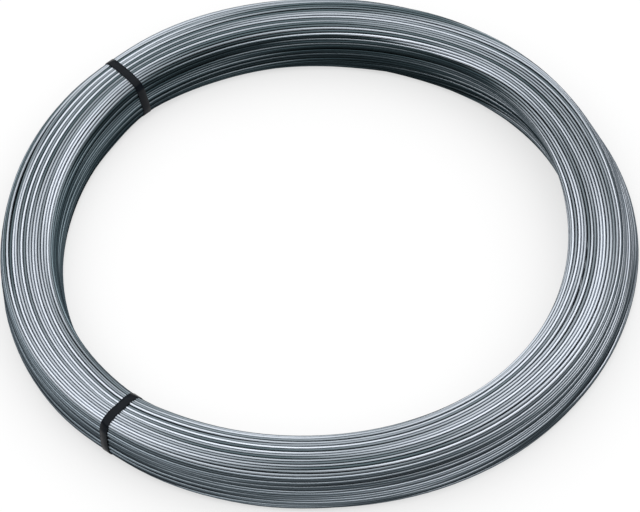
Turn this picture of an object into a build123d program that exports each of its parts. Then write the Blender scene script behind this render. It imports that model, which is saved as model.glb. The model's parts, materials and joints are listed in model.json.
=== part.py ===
from build123d import *
from math import atan2, cos, degrees, radians, sin, tan
import os

# A coil of galvanized steel wire: one long wire wound in a bundle of turns, with two flat
# plastic straps tied round the bundle. It lies flat, with its foot at Z = 0. Its lower end is
# turned about Z. Its upper end is narrower and heaps up towards +X, so its axis leans.

# Driving sizes, in millimetres and degrees
wire_diameter = 3.0
bore_radius = 256.0  # inside of the coil
bundle_width = 58.0  # across the bundle, from the bore outwards
bundle_height = 55.5  # halfway between its high place and its low one
upright_height = 27.0  # of the walls, before they draw in towards the top
draw_in = 4.2  # of each wall, at the top
upper_lean = 1.1  # of the upper end, which rises towards +X
shoulder_radius = 13.0  # rounding of the bundle's section
shoulder_bends = 4  # bends that turn a wall into an end
furrow_depth = 0.9  # between two turns on the coil's ends
foot_width = 19.0  # level ring under the bundle, where its own weight beds the turns flat
strap_width = 9.0
strap_thickness = 0.6
strap_sink = 0.65  # how far a strap's face lies under the bundle's outline
strap_seat_gap = 0.25  # between a strap and the turns that it squeezes in
strap_side_gap = 0.5
strap_angles = {"strap_rear": 130.0, "strap_front": 228.0}  # counterclockwise from +X

# Sizes that follow from them
mean_radius = bore_radius + bundle_width / 2
top_width = bundle_width - 2 * draw_in
wall_slope = degrees(atan2(draw_in, bundle_height - upright_height))
shoulder = min(shoulder_radius, 0.4 * top_width, 0.4 * bundle_height)
shoulder_across = top_width / 2 + shoulder * tan(radians(wall_slope)) - shoulder / cos(radians(wall_slope))
channel_depth = strap_sink + strap_thickness + strap_seat_gap
channel_width = strap_width + 2 * strap_side_gap
leaning_axis = Vector(0, 0, 1).rotate(Axis.Y, -upper_lean)
leaning_out = Vector(1, 0, 0).rotate(Axis.Y, -upper_lean)

# Sections are drawn across the bundle, with X outwards from its middle and Y up from the floor


def rounding(across, height, radius, facing, stop_facing):
    """Bends of a shoulder made of flats, as a strap drawn tight over wires makes it.

    The two facings are the directions, in degrees, in which the walls beside it look.
    """
    step = (stop_facing - facing) / shoulder_bends
    reach = radius / cos(radians(step / 2))
    turned = [radians(facing + step * (bend + 0.5)) for bend in range(shoulder_bends)]
    return [Vector(across + reach * cos(t), height + reach * sin(t)) for t in turned]


def upper_shoulders(inset):
    """Outer and inner shoulder of the upper end, counterclockwise, drawn inset."""
    height = bundle_height - shoulder
    radius = shoulder - inset
    outer = rounding(shoulder_across, height, radius, wall_slope, 90)
    inner = rounding(-shoulder_across, height, radius, 90, 180 - wall_slope)
    return outer, inner


def lower_shoulders(inset):
    """Inner and outer shoulder of the lower end, counterclockwise, drawn inset."""
    across = bundle_width / 2 - shoulder
    radius = shoulder - inset
    return rounding(-across, shoulder, radius, 180, 270), rounding(across, shoulder, radius, 270, 360)


def furrowed_flat(start, stop):
    """Points along a level flat that shows its turns: crests on it, with furrows between them."""
    run = stop - start
    inward = run.normalized().rotate(Axis.Z, 90)
    turns = max(1, round(run.length / wire_diameter))
    points = []
    for turn in range(turns):
        points.append(start + run * (turn / turns))
        points.append(start + run * ((turn + 0.5) / turns) + inward * furrow_depth)
    return points


def lower_end():
    """Outline of the lower end, with upright walls that run on past the upper end."""
    inner, outer = lower_shoulders(0)
    foot_start, foot_stop = Vector(-foot_width / 2, 0), Vector(foot_width / 2, 0)
    foot = furrowed_flat(inner[-1], foot_start) + [foot_start] + furrowed_flat(foot_stop, outer[0])
    wall_top = [Vector(bundle_width / 2, 2 * bundle_height), Vector(-bundle_width / 2, 2 * bundle_height)]
    return inner[:-1] + foot + outer + wall_top


def upper_end():
    """Outline of the upper end, with sloping walls that run on down past the foot."""
    outer, inner = upper_shoulders(0)
    low = -bundle_height
    reach = top_width / 2 + (bundle_height - low) * tan(radians(wall_slope))
    return [Vector(reach, low)] + outer[:-1] + furrowed_flat(outer[-1], inner[0]) + inner + [Vector(-reach, low)]


def bundle_outline(angle, inset):
    """Plain outline of the whole bundle where a plane at an angle cuts it, drawn inset."""
    lean = upper_lean * cos(radians(angle))
    axis = Vector(mean_radius, 0)
    outer, inner = [[(axis + bend).rotate(Axis.Z, lean) - axis for bend in bends] for bends in upper_shoulders(inset)]
    # Each sloping wall runs down from its shoulder to the upright one
    wall = bundle_width / 2 - inset
    outer_down = Vector(0, -1).rotate(Axis.Z, lean + wall_slope)
    inner_down = Vector(0, -1).rotate(Axis.Z, lean - wall_slope)
    outer_bend = outer[0] + outer_down * ((wall - outer[0].X) / outer_down.X)
    inner_bend = inner[-1] + inner_down * ((-wall - inner[-1].X) / inner_down.X)
    inner_low, outer_low = lower_shoulders(inset)
    return [outer_bend] + outer + inner + [inner_bend] + inner_low + outer_low


def across_bundle(angle):
    """Plane across the bundle at an angle, with its origin under the middle of the bundle."""
    outward = Vector(1, 0, 0).rotate(Axis.Z, angle)
    return Plane(origin=outward * mean_radius, x_dir=outward, z_dir=outward.cross(Vector(0, 0, 1)))


# The wire coil, whose two ends are turned one by one and meet halfway up the walls
with BuildPart() as wire_coil:
    with BuildSketch(Plane.XZ):
        with Locations((mean_radius, 0)):
            Polygon(*lower_end(), align=None)
    revolve(axis=Axis.Z)
    with BuildSketch(Plane(origin=(0, 0, 0), x_dir=leaning_out, z_dir=leaning_out.cross(leaning_axis))):
        with Locations((mean_radius, 0)):
            Polygon(*upper_end(), align=None)
    revolve(axis=Axis((0, 0, 0), leaning_axis), mode=Mode.INTERSECT)
    # Where a strap pulls the turns in, the bundle is slimmer all round
    for angle in strap_angles.values():
        with BuildSketch(across_bundle(angle)):
            with Locations((0, bundle_height / 2)):
                Rectangle(1.5 * bundle_width, 1.5 * bundle_height)
            Polygon(*bundle_outline(angle, channel_depth), align=None, mode=Mode.SUBTRACT)
        extrude(amount=channel_width / 2, both=True, mode=Mode.SUBTRACT)
wire_coil.part.label = "wire_coil"

# The straps, each one a closed loop of flat band round the bundle
straps = []
for name, angle in strap_angles.items():
    with BuildPart() as strap:
        with BuildSketch(across_bundle(angle)):
            Polygon(*bundle_outline(angle, strap_sink), align=None)
            Polygon(*bundle_outline(angle, strap_sink + strap_thickness), align=None, mode=Mode.SUBTRACT)
        extrude(amount=strap_width / 2, both=True)
    strap.part.label = name
    straps.append(strap.part)

os.makedirs("parts", exist_ok=True)
for piece in [wire_coil.part, *straps]:
    export_step(piece, f"parts/{piece.label}.step")
    print(piece.label, "volume", round(piece.volume), "mm3")
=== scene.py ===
import json
import math

import bpy
import numpy as np
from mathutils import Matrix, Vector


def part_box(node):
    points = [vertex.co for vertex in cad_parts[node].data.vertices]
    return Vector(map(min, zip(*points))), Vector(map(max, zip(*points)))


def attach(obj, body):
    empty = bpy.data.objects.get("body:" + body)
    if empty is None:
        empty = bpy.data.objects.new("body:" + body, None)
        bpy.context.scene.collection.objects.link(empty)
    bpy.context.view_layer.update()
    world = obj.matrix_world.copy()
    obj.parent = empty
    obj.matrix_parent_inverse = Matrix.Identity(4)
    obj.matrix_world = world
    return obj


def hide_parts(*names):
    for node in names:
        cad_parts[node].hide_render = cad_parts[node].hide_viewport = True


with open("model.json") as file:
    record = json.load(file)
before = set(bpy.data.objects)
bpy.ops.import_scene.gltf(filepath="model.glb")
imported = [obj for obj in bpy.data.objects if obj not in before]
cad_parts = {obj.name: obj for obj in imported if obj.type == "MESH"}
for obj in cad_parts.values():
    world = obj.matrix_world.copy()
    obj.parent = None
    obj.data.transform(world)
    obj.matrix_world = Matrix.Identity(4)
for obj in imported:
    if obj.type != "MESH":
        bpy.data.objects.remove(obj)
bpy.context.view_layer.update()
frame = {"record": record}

print("frame loaded")

# The bundle's own sizes, in metres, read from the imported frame
bore = next(mount for mount in frame["record"]["mounts"] if mount["name"] == "bore")
boreRadius = bore["dims"]["r_mm"] / 1000
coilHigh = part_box("wire_coil")[1]
halfWide = (coilHigh.y - boreRadius) / 2
meanRadius = boreRadius + halfWide


def placeOfStrap(node):
    low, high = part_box(node)
    return math.atan2(low.y + high.y, low.x + high.x)


strapPlaces = {node: placeOfStrap(node) for node in ("strap_rear", "strap_front")}

# How the turns lie. Angles are in degrees round the coil, from +X towards +Y
coil = {
    "wireRadius": 0.0015,
    "stations": 144,  # points on each turn
    "seam": -30,  # where the turns are counted from
    "squareness": 6.0,  # of the bundle's section: 2 is an ellipse
    "tiedSquareness": 4.3,  # under a strap, which draws the bundle round
    "tiedReach": 14,  # how far round from the strap
    "flare": -0.09,  # share by which the bundle is wider on top: below 0 it is wider at its foot
    "lean": -0.0027,  # how far the top sits towards +X, and the foot as far the other way
    "overhang": (0.0082, 10, 30),  # how far the top sits in over the bore, where, and how far round
    "rise": 0.1,  # share by which the bundle is higher towards +X and lower the other way
    "outOfRound": [(3, 0.001, -10), (4, 0.0018, 35)],  # lobes, how far they stand out, where one is
    "pinch": 0.0009,  # how far a strap squeezes the turns right under it
    "pinchReach": 7,
    "outlinePoints": 1201,  # of the section that a layer's turns are laid along
    "layers": [  # depth of the turns' middles under the outline, turns, sides of the drawn wire
        ("outer_turns", 0.0015, 64, 10),
        ("middle_turns", 0.0046, 50, 6),
        ("inner_turns", 0.0077, 44, 6),
    ],
    "firstTurn": 0.75,  # where it lies round the section: 0 is the outer side and 0.75 the foot
    "drift": 9,  # places that each turn moves round the bundle in one loop
    "driftFrom": -15,  # where it starts to
    "driftOver": 130,  # and over what angle it does
    "bunching": 1.1,  # 0 spaces the turns evenly, and more leaves a few wide gaps
    "dip": 0.0006,  # how far a turn sinks into the bundle
    "waves": 14,  # that add up to the chance in how a turn lies
    "wave": 80,  # length of the quickest, in degrees round the coil
    "slowest": 0.15,  # pace of the slowest, as a share of the quickest
    "seed": 5,
}

stationAngles = np.radians(coil["seam"] + np.arange(coil["stations"]) * 360 / coil["stations"])
halfHigh = coilHigh.z / 2 / (1 + coil["rise"])


def angleFrom(middle, angle):
    return (angle - middle + math.pi) % (2 * math.pi) - math.pi


def bundleSizes():
    # Half width, half height, middle height and squareness of the bundle at each station
    def tied(reach):
        away = [angleFrom(place, stationAngles) / math.radians(reach) for place in strapPlaces.values()]
        return sum(np.exp(-share ** 2) for share in away)

    pinch = coil["pinch"] * tied(coil["pinchReach"])
    middles = halfHigh * (1 + coil["rise"] * np.cos(stationAngles))
    square = coil["squareness"] + (coil["tiedSquareness"] - coil["squareness"]) * tied(coil["tiedReach"])
    return halfWide - pinch, middles - pinch, middles, square


halfWides, halfHighs, middleHeights, squareness = bundleSizes()


def sectionOutline(station, depth):
    # Rounded box at a depth in the bundle, counterclockwise from its outer side, with the run along it
    wide, high = halfWides[station] - depth, halfHighs[station] - depth
    power = 2 / squareness[station]
    around = np.linspace(0, 2 * math.pi, coil["outlinePoints"])
    up = np.sign(np.sin(around)) * np.abs(np.sin(around)) ** power
    across = wide * np.sign(np.cos(around)) * np.abs(np.cos(around)) ** power * (1 + coil["flare"] * up)
    run = np.concatenate([[0], np.cumsum(np.hypot(np.diff(across), np.diff(high * up)))])
    return run, across, high * up


def wavering(random, turns):
    # Smooth chance along the whole wire, with a mean of 0 and a spread of 1, which joins up at its end
    place = np.arange(turns * coil["stations"]) / (turns * coil["stations"])
    mostCycles = turns * 360 / coil["wave"]
    total = np.zeros(len(place))
    for _ in range(coil["waves"]):
        cycles = int(mostCycles * random.uniform(coil["slowest"], 1))
        total += np.sin(2 * math.pi * (cycles * place + random.uniform(0, 1)))
    return (total * math.sqrt(2 / coil["waves"])).reshape(turns, -1)


def driftRound():
    # Share of the drift that is done at each station, which starts and stops smoothly
    start = math.radians(coil["driftFrom"] - coil["seam"])
    step = np.clip((stationAngles - stationAngles[0] - start) / math.radians(coil["driftOver"]), 0, 1)
    return step * step * (3 - 2 * step)


def spacedRound(gaps, depth):
    # Place of each turn at every station, as a share of the way round the bundle's section
    widths = np.zeros(gaps.shape)
    for station in range(coil["stations"]):
        run, _, _ = sectionOutline(station, depth)
        spare = run[-1] - 2 * len(gaps) * coil["wireRadius"]
        gap = gaps[:, station] * spare / gaps[:, station].sum()
        widths[:, station] = (2 * coil["wireRadius"] + gap) / run[-1]
    drifted = widths[:coil["drift"], 0].sum() * driftRound()
    return (np.cumsum(widths, 0) + drifted + coil["firstTurn"]) % 1


def laidTurns(random, depth, turns):
    # Middles of one layer's turns at every station, side by side round the bundle's section.
    # A turn that starts in one place ends some places further on, where the next turn starts
    slots = (np.arange(turns) * coil["drift"]) % turns
    order = np.argsort(slots)
    gaps = np.exp(coil["bunching"] * wavering(random, turns))[order]
    sunk = coil["dip"] * np.abs(wavering(random, turns))[order]
    places = spacedRound(gaps, depth)
    middles = np.zeros(gaps.shape + (2,))
    for station in range(coil["stations"]):
        run, across, up = sectionOutline(station, depth)
        along = places[:, station] * run[-1]
        shrink = 1 - sunk[:, station] / (halfWide - depth)
        middles[:, station, 0] = np.interp(along, run, across) * shrink
        middles[:, station, 1] = np.interp(along, run, up) * shrink
    return middles[slots]


def placed(angle, across, height):
    # World points of a place in the bundle, out of round, leaning and hanging over as the whole coil does
    above = height / halfHigh - 1
    reach, middle, spread = coil["overhang"]
    overhang = reach * np.exp(-(angleFrom(math.radians(middle), angle) / math.radians(spread)) ** 2)
    bulge = sum(size * np.cos(lobes * (angle - math.radians(where)))
                for lobes, size, where in coil["outOfRound"])
    radius = meanRadius + bulge + across - overhang * above
    x = radius * np.cos(angle) + coil["lean"] * above
    return np.stack(np.broadcast_arrays(x, radius * np.sin(angle), height), -1)


def drawnMesh(name, points, faces):
    mesh = bpy.data.meshes.new(name)
    mesh.from_pydata(points.reshape(-1, 3).tolist(), [], faces.tolist())
    mesh.shade_smooth()
    piece = bpy.data.objects.new(name, mesh)
    bpy.context.scene.collection.objects.link(piece)
    return piece


def marked(piece, name, *values):
    # Three values at each point, for the finish to read
    vectors = np.stack(np.broadcast_arrays(*values), -1).astype(np.float32)
    attribute = piece.data.attributes.new(name, "FLOAT_VECTOR", "POINT")
    attribute.data.foreach_set("vector", vectors.ravel())


def tubeFaces(rings, sides):
    # Quads between each ring of points and the next, closed both ways
    ring = np.arange(rings)[:, None] * sides
    nextRing = (np.arange(1, rings + 1) % rings)[:, None] * sides
    side = np.arange(sides)[None]
    nextSide = (side + 1) % sides
    return np.stack([ring + side, nextRing + side, nextRing + nextSide, ring + nextSide], -1).reshape(-1, 4)


# How dull or bright the zinc is along the wire, partly at random and partly painted light and shade round
# the coil, in the deeper layers and in highlight lines on the walls. A tone of 0 is the dullest wire and 1
# the brightest
zincToneAndPaintedLight = {
    "middle": 0.5,
    "wander": 0.28,  # smooth chance along the wire
    "swing": 0.26,  # two neighbours differ by it, because they are laid several turns apart
    "swings": 5,  # from one end of the wire to the other
    "paintedSideLight": 0.16,  # painted light: the wire is brighter on the coil's left and right
    "paintedBackShade": 0.16,  # and painted shade makes it duller at its back
    "layerPaintedShade": 0.5,  # painted shade: each layer is duller than the one that lies on it
    "shoulder": (0.4, 0.2),  # share across where the bundle's top starts to be wall, and over how much
    "wallUnderShade": 0.4,  # how much more of a turn lies in painted shade on a wall, so that its painted highlight is narrower
    "glintInside": 0.25,  # tone from which a turn gets a painted highlight line on the bore's wall
    "glintOutside": 0.3,  # and on the outer wall
    "glintFade": 0.15,  # tone over which the line comes up
    "glintPlace": 10,  # degrees round the coil where it does so most
    "glintAside": 0.65,  # how strong it still is a quarter of the way round from there
    "glintGain": 0.5,  # what it gains there, up to 1 in all, and loses on the opposite side
    "glintCrest": 1.6,  # more makes the line wider on the turn's crest
    "glintLift": 0.3,  # tone that it gains on the outer wall
}


def turnTonesAndPaintedLight(random, turns):
    # Painted light on the coil's left and right and painted shade at its back
    shine = zincToneAndPaintedLight["paintedSideLight"] * np.cos(2 * stationAngles)
    shine -= zincToneAndPaintedLight["paintedBackShade"] * np.sin(stationAngles)
    along = np.arange(turns * coil["stations"]).reshape(turns, -1) / (turns * coil["stations"])
    swing = np.cos(2 * math.pi * zincToneAndPaintedLight["swings"] * along)
    wander = zincToneAndPaintedLight["wander"] * wavering(random, turns)
    return np.clip(zincToneAndPaintedLight["middle"] + shine + wander + zincToneAndPaintedLight["swing"] * swing, 0, 1)


def shareOfWall(centres):
    # 0 on the bundle's top and 1 on its walls and underside, with the change at the shoulders
    across = np.abs(centres[..., 0] / halfWides) ** squareness
    up = np.clip(centres[..., 1] / halfHighs, 0, None) ** squareness
    start, over = zincToneAndPaintedLight["shoulder"]
    share = across / (across + up + 1e-6)  # which is never divided by 0
    return np.clip((share - start) / over, 0, 1)


def shareOfPaintedHighlight(tonesAndPaintedLight, inside):
    # Painted highlight: the brighter turns get a painted bright line on the walls too, most of all on the
    # coil's right
    dimmest = np.where(inside, zincToneAndPaintedLight["glintInside"], zincToneAndPaintedLight["glintOutside"])
    away = angleFrom(math.radians(zincToneAndPaintedLight["glintPlace"]), stationAngles)
    strength = zincToneAndPaintedLight["glintAside"] + zincToneAndPaintedLight["glintGain"] * np.cos(away)
    return np.clip((tonesAndPaintedLight - dimmest) / zincToneAndPaintedLight["glintFade"], 0, 1) * np.clip(strength, 0, 1)


def turnsMesh(name, centres, tonesAndPaintedLight, sides):
    turns, stations = centres.shape[:2]
    angle = np.tile(stationAngles, turns)[:, None]
    middle = np.tile(middleHeights, turns)[:, None]
    around = 2 * math.pi * (np.arange(sides) + 0.5)[None] / sides
    centre = centres.reshape(-1, 1, 2)
    points = placed(angle, centre[..., 0] + coil["wireRadius"] * np.cos(around),
                    middle + centre[..., 1] + coil["wireRadius"] * np.sin(around))
    piece = drawnMesh(name, points, tubeFaces(turns * stations, sides))
    # The run along the wire, the girth round it, and how far its skin looks up out of its neighbours, which
    # sets its painted shade and painted highlight
    run = np.arange(turns * stations)[:, None] * (2 * math.pi * meanRadius / stations)
    wall = shareOfWall(centres).reshape(-1, 1)
    looksUp = 1 - (1 - np.sin(around)) * (1 + zincToneAndPaintedLight["wallUnderShade"] * wall)
    marked(piece, "turnPlace", run, around * coil["wireRadius"], looksUp)
    # The share of painted wall shade, less where a turn has a painted highlight line, the share of that
    # which is the bore's, and the tone with its painted light and shade
    inside = centres[..., 0] < 0
    # Painted highlight along the crest of the brighter turns on the walls, which also lifts their tone on
    # the outer wall
    glint = shareOfPaintedHighlight(tonesAndPaintedLight, inside).reshape(-1, 1) * np.clip(zincToneAndPaintedLight["glintCrest"] * looksUp, 0, 1)
    inside = inside.reshape(-1, 1)
    toneAndPaintedLight = tonesAndPaintedLight.reshape(-1, 1) + zincToneAndPaintedLight["glintLift"] * glint * wall * (1 - inside)
    marked(piece, "paintedShadeAndTone", wall * (1 - glint), inside, toneAndPaintedLight)
    return piece


def buildTurns(finish):
    random = np.random.default_rng(coil["seed"])
    layers, pieces = [], []
    for name, depth, turns, sides in coil["layers"]:
        layers.append(laidTurns(random, depth, turns))
        # Painted shade: each deeper layer is made duller
        tonesAndPaintedLight = turnTonesAndPaintedLight(random, turns) - zincToneAndPaintedLight["layerPaintedShade"] * len(pieces)
        piece = turnsMesh(name, layers[-1], tonesAndPaintedLight, sides)
        piece.data.materials.append(finish)
        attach(piece, "root")
        pieces.append(piece)
        print(name, turns, "turns")
    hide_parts("wire_coil")
    return layers[0]


# The bundle's hidden middle, one plain ring under the drawn layers
core = {
    "depth": 0.0098,
    "sides": 32,
    "every": 2,  # stations from one of its sections to the next
    "toneAndPaintedLight": -1,  # painted shade: duller than any turn
}


def buildCore(finish):
    rings = []
    for station in range(0, coil["stations"], core["every"]):
        run, across, up = sectionOutline(station, core["depth"])
        places = np.arange(core["sides"]) / core["sides"] * run[-1]
        rings.append([np.interp(places, run, across), middleHeights[station] + np.interp(places, run, up)])
    rings = np.array(rings)
    angle = stationAngles[::core["every"], None]
    points = placed(angle, rings[:, 0], rings[:, 1])
    piece = drawnMesh("core_turns", points, tubeFaces(len(angle), core["sides"]))
    # Painted shade: the core is all dark wall colour at the dullest tone
    marked(piece, "paintedShadeAndTone", np.ones(len(angle) * core["sides"]), 0, core["toneAndPaintedLight"])
    piece.data.materials.append(finish)
    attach(piece, "root")
    print("core drawn")


strap = {
    "width": 0.009,
    "thickness": 0.0006,
    "edge": 0.00015,  # bevel along its edges
    "spacing": 0.0011,  # of the points along the band
    "carried": 2.2,  # degrees each way from its middle in which turns carry it
    "wireSides": 24,  # of a turn, where the band bends round it
}


def hullOf(points):
    # Tight loop round points in a plane, counterclockwise
    ordered = sorted(map(tuple, points))

    def liesInside(before, point, after):
        turn = (point[0] - before[0]) * (after[1] - before[1])
        return turn <= (point[1] - before[1]) * (after[0] - before[0])

    def half(run):
        kept = []
        for point in run:
            while len(kept) > 1 and liesInside(kept[-2], kept[-1], point):
                kept.pop()
            kept.append(point)
        return kept[:-1]

    return np.array(half(ordered) + half(ordered[::-1]))


def strapPath(place, outerTurns):
    # The band is drawn tight over the turns that it crosses
    under = np.abs(angleFrom(place, stationAngles)) < math.radians(strap["carried"])
    centres = outerTurns[:, under].reshape(-1, 1, 2)
    around = np.linspace(0, 2 * math.pi, strap["wireSides"], endpoint=False)
    ring = np.stack([np.cos(around), np.sin(around)], -1)[None] * coil["wireRadius"]
    loop = hullOf((centres + ring).reshape(-1, 2))
    closed = np.vstack([loop, loop[:1]])
    run = np.concatenate([[0], np.cumsum(np.hypot(*np.diff(closed, axis=0).T))])
    places = np.linspace(0, run[-1], int(run[-1] / strap["spacing"]), endpoint=False)
    return np.stack([np.interp(places, run, closed[:, 0]), np.interp(places, run, closed[:, 1])], -1)


def buildStrap(node, outerTurns, finish):
    place = strapPlaces[node]
    path = strapPath(place, outerTurns)
    ahead = np.roll(path, -1, 0) - np.roll(path, 1, 0)
    outward = np.stack([ahead[:, 1], -ahead[:, 0]], -1) / np.hypot(*ahead.T)[:, None]
    wide, thick, edge = strap["width"] / 2, strap["thickness"], strap["edge"]
    oneEdge = [(-wide + edge, 0), (-wide, edge), (-wide, thick - edge), (-wide + edge, thick)]
    otherEdge = [(-across, out) for across, out in reversed(oneEdge)]
    section = np.array(oneEdge + [(0, thick)] + otherEdge)
    raised = path[:, None] + outward[:, None] * section[None, :, 1:]
    nearest = np.argmin(np.abs(angleFrom(place, stationAngles)))
    points = placed(place, raised[..., 0], middleHeights[nearest] + raised[..., 1])
    points += section[:, :1] * np.array([-math.sin(place), math.cos(place), 0])
    piece = drawnMesh(node + "_band", points, tubeFaces(len(path), len(section)))
    piece.data.materials.append(finish)
    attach(piece, "root")
    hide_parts(node)
    print(piece.name, "drawn")


def newMaterial(name):
    material = bpy.data.materials.new(name)
    material.use_nodes = True
    return material, material.node_tree, material.node_tree.nodes["Principled BSDF"]


def noiseAt(tree, place, scale, detail):
    noise = tree.nodes.new("ShaderNodeTexNoise")
    noise.inputs["Scale"].default_value = scale
    noise.inputs["Detail"].default_value = detail
    tree.links.new(place, noise.inputs["Vector"])
    return noise.outputs["Fac"]


def ranged(tree, value, taken, given):
    # A value between the two that are taken becomes one between the two that are given
    node = tree.nodes.new("ShaderNodeMapRange")
    for name, number in zip(("From Min", "From Max", "To Min", "To Max"), taken + given):
        node.inputs[name].default_value = number
    tree.links.new(value, node.inputs["Value"])
    return node.outputs["Result"]


def mixed(tree, share, first, second):
    node = tree.nodes.new("ShaderNodeMix")
    node.data_type = "RGBA"
    tree.links.new(share, node.inputs["Factor"])
    for socket, colour in ((node.inputs["A"], first), (node.inputs["B"], second)):
        if isinstance(colour, tuple):
            socket.default_value = colour
        else:
            tree.links.new(colour, socket)
    return node.outputs["Result"]


def scaled(tree, colour, share):
    node = tree.nodes.new("ShaderNodeVectorMath")
    node.operation = "SCALE"
    tree.links.new(colour, node.inputs[0])
    tree.links.new(share, node.inputs["Scale"])
    return node.outputs["Vector"]


def bumped(tree, shader, height, strength, distance):
    bump = tree.nodes.new("ShaderNodeBump")
    bump.inputs["Strength"].default_value = strength
    bump.inputs["Distance"].default_value = distance
    tree.links.new(height, bump.inputs["Height"])
    tree.links.new(bump.outputs["Normal"], shader.inputs["Normal"])


galvanizing = {
    "dullTurn": (0.085, 0.115, 0.128, 1),  # greenish blue
    "brightTurn": (0.67, 0.72, 0.79, 1),  # pale and faintly blue
    # Painted shade: the bundle's outer wall and the bore's wall take these darker colours instead of the
    # top's
    "paintedShadeOuterWall": (0.14, 0.175, 0.2, 1),
    "paintedShadeInnerWall": (0.07, 0.105, 0.12, 1),  # painted shade on the bore's wall, dark and greenish blue
    "wallShares": (0.3, 1.9),  # of the painted wall shade's colour that the dullest turn keeps, and the brightest
    "underShadeShare": 0.45,  # share of its colour left under painted shade on the side of a turn that looks down
    "paintedUnderShade": (0.05, 0.9),  # how far the skin looks up where the painted shade starts to lift, and where the colour is full
    "edge": (0.45, 0.47, 0.5, 1),  # tint of the shine at a glancing angle
    "roughness": (0.28, 0.4),
    "patches": (90, 260, 0),  # of the roughness, to a metre along the wire and round it
    "patchRange": (0.3, 0.7),
    "drawMarks": (4, 900, 0),  # fine lines along the wire
    "markStrength": 0.08,
    "markDepth": 0.0001,
    "detail": 2.0,
}


def galvanizedWire():
    material, tree, shader = newMaterial("galvanizedWire")
    shader.inputs["Metallic"].default_value = 1.0
    shader.inputs["Specular Tint"].default_value = galvanizing["edge"]

    def attribute(name):
        # One of the turns' marks, and its three values
        node = tree.nodes.new("ShaderNodeAttribute")
        node.attribute_name = name
        values = tree.nodes.new("ShaderNodeSeparateXYZ")
        tree.links.new(node.outputs["Vector"], values.inputs[0])
        return node.outputs["Vector"], values.outputs

    def grain(stretch):
        # Noise in the wire's own run and girth
        scale = tree.nodes.new("ShaderNodeVectorMath")
        scale.operation = "MULTIPLY"
        scale.inputs[1].default_value = stretch
        tree.links.new(place, scale.inputs[0])
        return noiseAt(tree, scale.outputs["Vector"], 1.0, galvanizing["detail"])

    place, placeValues = attribute("turnPlace")
    _, shade = attribute("paintedShadeAndTone")
    looksUp, toneAndPaintedLight = placeValues["Z"], shade["Z"]
    top = mixed(tree, toneAndPaintedLight, galvanizing["dullTurn"], galvanizing["brightTurn"])
    # Painted shade on the walls, darker on the bore's wall than on the outer one
    wall = mixed(tree, shade["Y"], galvanizing["paintedShadeOuterWall"], galvanizing["paintedShadeInnerWall"])
    wall = scaled(tree, wall, ranged(tree, toneAndPaintedLight, (0, 1), galvanizing["wallShares"]))
    # Painted shade on the side of each turn that looks down, into the gaps between turns
    paintedUnderShade = ranged(tree, looksUp, galvanizing["paintedUnderShade"], (galvanizing["underShadeShare"], 1))
    colour = scaled(tree, mixed(tree, shade["X"], top, wall), paintedUnderShade)
    tree.links.new(colour, shader.inputs["Base Color"])
    patches = grain(galvanizing["patches"])
    rough = ranged(tree, patches, galvanizing["patchRange"], galvanizing["roughness"])
    tree.links.new(rough, shader.inputs["Roughness"])
    marks = grain(galvanizing["drawMarks"])
    bumped(tree, shader, marks, galvanizing["markStrength"], galvanizing["markDepth"])
    return material


# Satin band with the scuffs and faint ripple of strap that was drawn tight
plastic = {
    "dark": (0.001, 0.002, 0.004, 1),
    "scuffed": (0.005, 0.008, 0.012, 1),
    "scuffs": 160,  # to a metre
    "roughness": (0.22, 0.48),
    "rubs": 320,
    "ripples": 500,
    "rippleStrength": 0.25,
    "rippleDepth": 0.0001,
    "detail": 4.0,
    "shine": 0.12,
}


def strapPlastic():
    material, tree, shader = newMaterial("strapPlastic")
    shader.inputs["Specular IOR Level"].default_value = plastic["shine"]
    place = tree.nodes.new("ShaderNodeTexCoord").outputs["Object"]
    scuffs, rubs, ripples = [noiseAt(tree, place, plastic[name], plastic["detail"])
                             for name in ("scuffs", "rubs", "ripples")]
    tree.links.new(mixed(tree, scuffs, plastic["dark"], plastic["scuffed"]), shader.inputs["Base Color"])
    tree.links.new(ranged(tree, rubs, (0, 1), plastic["roughness"]), shader.inputs["Roughness"])
    bumped(tree, shader, ripples, plastic["rippleStrength"], plastic["rippleDepth"])
    return material


studio = {
    "floorRadius": 60,  # metres
    "floorSides": 96,
    "floorColour": (0.9, 0.9, 0.9, 1),
    "floorRoughness": 0.9,
    "floorWhite": 0.6,  # share of plain white that the floor shows, so that the coil's shadow is light
    "keyStrength": 3.0,
    "keyAngle": 120,  # degrees of sky that the lamp fills, for soft light
    "keyTilt": (-4, 0),  # degrees about X and Y
    "sky": 0.2,
}


def paleFloor():
    material, tree, shader = newMaterial("paleFloor")
    shader.inputs["Base Color"].default_value = studio["floorColour"]
    shader.inputs["Roughness"].default_value = studio["floorRoughness"]
    shader.inputs["Specular IOR Level"].default_value = 0.0

    def calculated(operation, first, second):
        node = tree.nodes.new("ShaderNodeMath")
        node.operation = operation
        tree.links.new(first, node.inputs[0])
        if isinstance(second, float):
            node.inputs[1].default_value = second
        else:
            tree.links.new(second, node.inputs[1])
        return node.outputs[0]

    path = tree.nodes.new("ShaderNodeLightPath").outputs
    seen = calculated("MAXIMUM", path["Is Camera Ray"], path["Is Glossy Ray"])
    seen = calculated("MAXIMUM", seen, path["Is Transmission Ray"])
    white, mix = tree.nodes.new("ShaderNodeEmission"), tree.nodes.new("ShaderNodeMixShader")
    white.inputs["Strength"].default_value = 1.0
    tree.links.new(calculated("MULTIPLY", seen, studio["floorWhite"]), mix.inputs["Fac"])
    tree.links.new(shader.outputs["BSDF"], mix.inputs[1])
    tree.links.new(white.outputs["Emission"], mix.inputs[2])
    tree.links.new(mix.outputs["Shader"], tree.nodes["Material Output"].inputs["Surface"])
    return material


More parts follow.
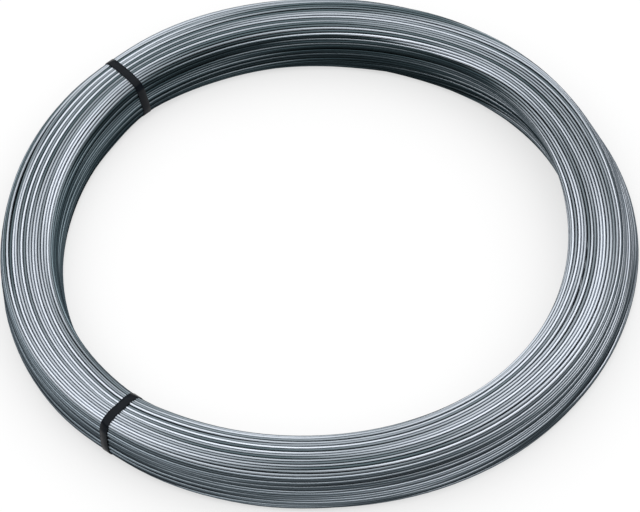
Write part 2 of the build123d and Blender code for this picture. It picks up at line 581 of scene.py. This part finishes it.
def buildFloor():
    around = np.linspace(0, 2 * math.pi, studio["floorSides"], endpoint=False)
    points = np.stack([np.cos(around), np.sin(around), 0 * around], -1) * studio["floorRadius"]
    mesh = bpy.data.meshes.new("floor")
    mesh.from_pydata(points.tolist(), [], [list(range(studio["floorSides"]))])
    mesh.materials.append(paleFloor())
    floor = bpy.data.objects.new("floor", mesh)
    bpy.context.scene.collection.objects.link(floor)


def buildLight():
    key = bpy.data.lights.new("overheadKey", "SUN")
    key.energy = studio["keyStrength"]
    key.angle = math.radians(studio["keyAngle"])
    lamp = bpy.data.objects.new("overheadKey", key)
    lamp.rotation_euler = [math.radians(turn) for turn in studio["keyTilt"]] + [0]
    bpy.context.scene.collection.objects.link(lamp)
    world = bpy.data.worlds.new("studioSky")
    world.use_nodes = True
    world.node_tree.nodes["Background"].inputs["Color"].default_value = (studio["sky"],) * 3 + (1,)
    bpy.context.scene.world = world
    bpy.context.scene.view_settings.view_transform = "Standard"


# The photograph's view, from the coil's front and well above it, in degrees and metres
view = {
    "elevation": 50.2,
    "roll": 2.74,
    "distance": 4.56,
    "target": (0.0042, 0.0051, 0),
    "lens": 257.7,  # millimetres, as the sensor is
    "sensor": 36,
    "farthest": 200,
}


def buildCamera():
    rise, roll = math.radians(view["elevation"]), math.radians(view["roll"])
    back = np.array([0, -math.cos(rise), math.sin(rise)])
    right = np.array([1.0, 0, 0])
    up = np.cross(back, right)
    turnedRight = math.cos(roll) * right - math.sin(roll) * up
    turnedUp = math.sin(roll) * right + math.cos(roll) * up
    camera = bpy.data.objects.new("photoCamera", bpy.data.cameras.new("photoCamera"))
    camera.data.sensor_width = view["sensor"]
    camera.data.lens = view["lens"]
    camera.data.clip_end = view["farthest"]
    matrix = np.eye(4)
    matrix[:3, :3] = np.stack([turnedRight, turnedUp, back], 1)
    matrix[:3, 3] = np.array(view["target"]) + view["distance"] * back
    camera.matrix_world = matrix.T.tolist()
    bpy.context.scene.collection.objects.link(camera)
    bpy.context.scene.camera = camera


wireFinish = galvanizedWire()
strapFinish = strapPlastic()
print("finishes made")
outerTurns = buildTurns(wireFinish)
buildCore(wireFinish)
for node in strapPlaces:
    buildStrap(node, outerTurns, strapFinish)
buildFloor()
buildLight()
buildCamera()
print("studio set up")
